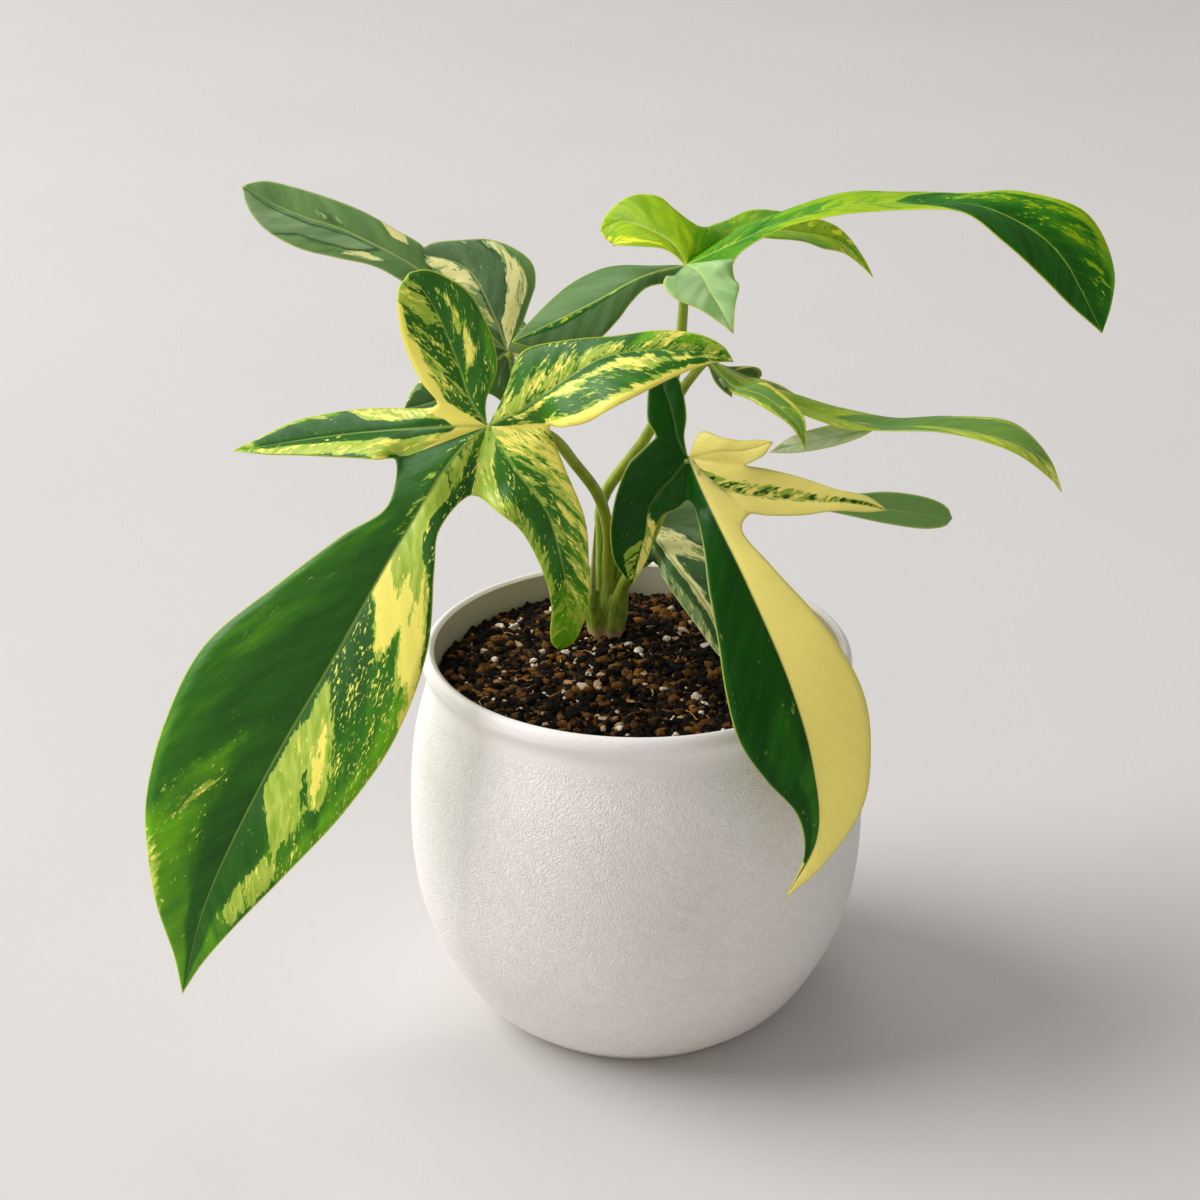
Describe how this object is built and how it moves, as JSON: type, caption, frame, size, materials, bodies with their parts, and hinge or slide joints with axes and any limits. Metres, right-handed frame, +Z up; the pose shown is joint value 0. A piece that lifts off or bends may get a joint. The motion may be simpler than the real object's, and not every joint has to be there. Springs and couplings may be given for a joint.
{
  "type": "potted variegated philodendron",
  "caption": "Climbing philodendron with lobed green and yellow variegated leaves on slim stalks, growing from potting mix in a rounded white ceramic pot.",
  "frame": {"origin": "centre of the pot's flat underside", "axes": "+Z up out of the pot, -Y towards the front, +X to the right as seen from the front"},
  "size_m": [0.2966, 0.1671, 0.2739],
  "materials": {
    "pot": "warm white matte glaze with a fine wrinkled skin and a smooth satin rim",
    "soil": "damp dark potting mix with bark and white mineral grains",
    "stem": "matte olive stem, pinkish brown at its foot",
    "stalk": "satin yellow green leaf stalk",
    "leaf_bright": "satin leaf, green with lime and pale yellow sectors, streaks and flecks",
    "leaf_half_yellow": "satin leaf, one half dark green and the other pale yellow",
    "leaf_grey": "satin leaf, grey green with cream sectors and streaks"
  },
  "bodies": {
    "root": {"pot": "pot", "soil": "soil", "stem": "stem", "blade_front_left": "leaf_bright", "blade_back_left": "leaf_grey", "blade_top_right": "leaf_bright", "blade_front_right": "leaf_half_yellow", "blade_middle": "leaf_grey", "blade_right": "leaf_bright", "stalk_front_left": "stalk", "stalk_back_left": "stalk", "stalk_top_right": "stalk", "stalk_front_right": "stalk", "stalk_middle": "stalk", "stalk_right": "stalk", "young_leaf": "stalk"}
  },
  "joints": []
}
